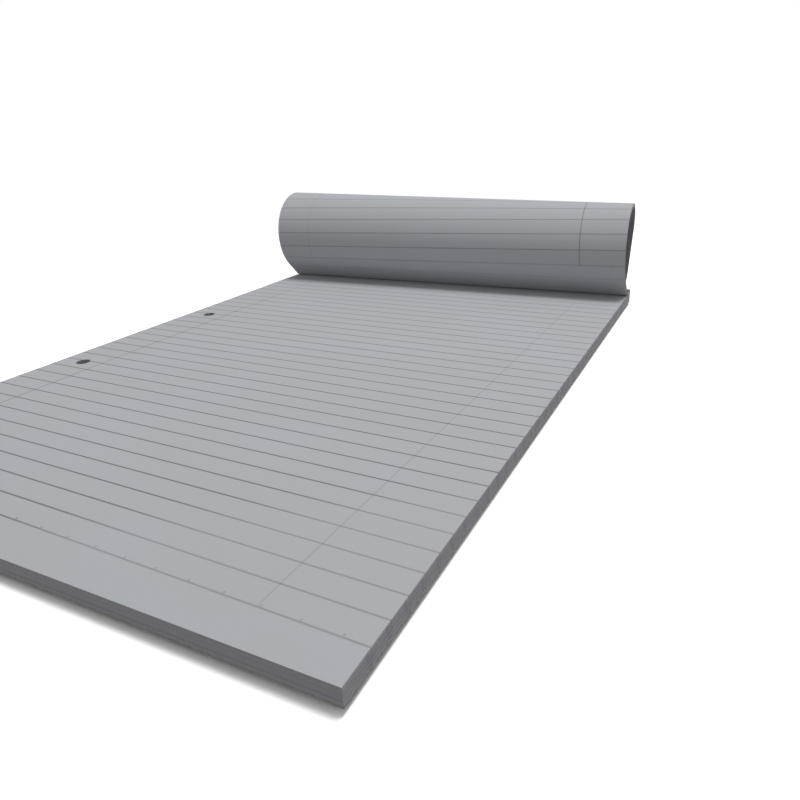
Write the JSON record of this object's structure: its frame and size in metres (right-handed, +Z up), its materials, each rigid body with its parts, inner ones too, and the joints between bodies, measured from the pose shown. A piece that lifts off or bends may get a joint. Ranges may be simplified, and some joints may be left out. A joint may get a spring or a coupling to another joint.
{
  "type": "ruled writing pad",
  "caption": "Head-bound ruled writing pad lying open, with its cover and first sheets looped over the head and tucked under the greyboard back; two-hole punched.",
  "frame": {"origin": "centre of the bounding box's bottom, on the surface that the pad lies on", "axes": "+X across the sheet towards its right edge, +Y along the sheet from foot to head, +Z up out of the page"},
  "size_m": [0.21, 0.3158, 0.0574],
  "materials": {
    "greyboard": "matt grey recycled board with fine flecks",
    "ruled_paper": "uncoated white writing paper with fine grey rules and a margin",
    "turned_paper": "uncoated white writing paper, reverse side showing, with fine grey rules",
    "cover_card": "white coated card, slight sheen",
    "padding_glue": "flexible padding glue",
    "binding_tape": "black linen-textured binding tape"
  },
  "bodies": {
    "root": {"backing_board": "greyboard", "page_block": "ruled_paper", "turned_sheets": "turned_paper", "cover": "cover_card", "head_glue": "padding_glue", "binding_tape": "binding_tape"}
  },
  "joints": []
}
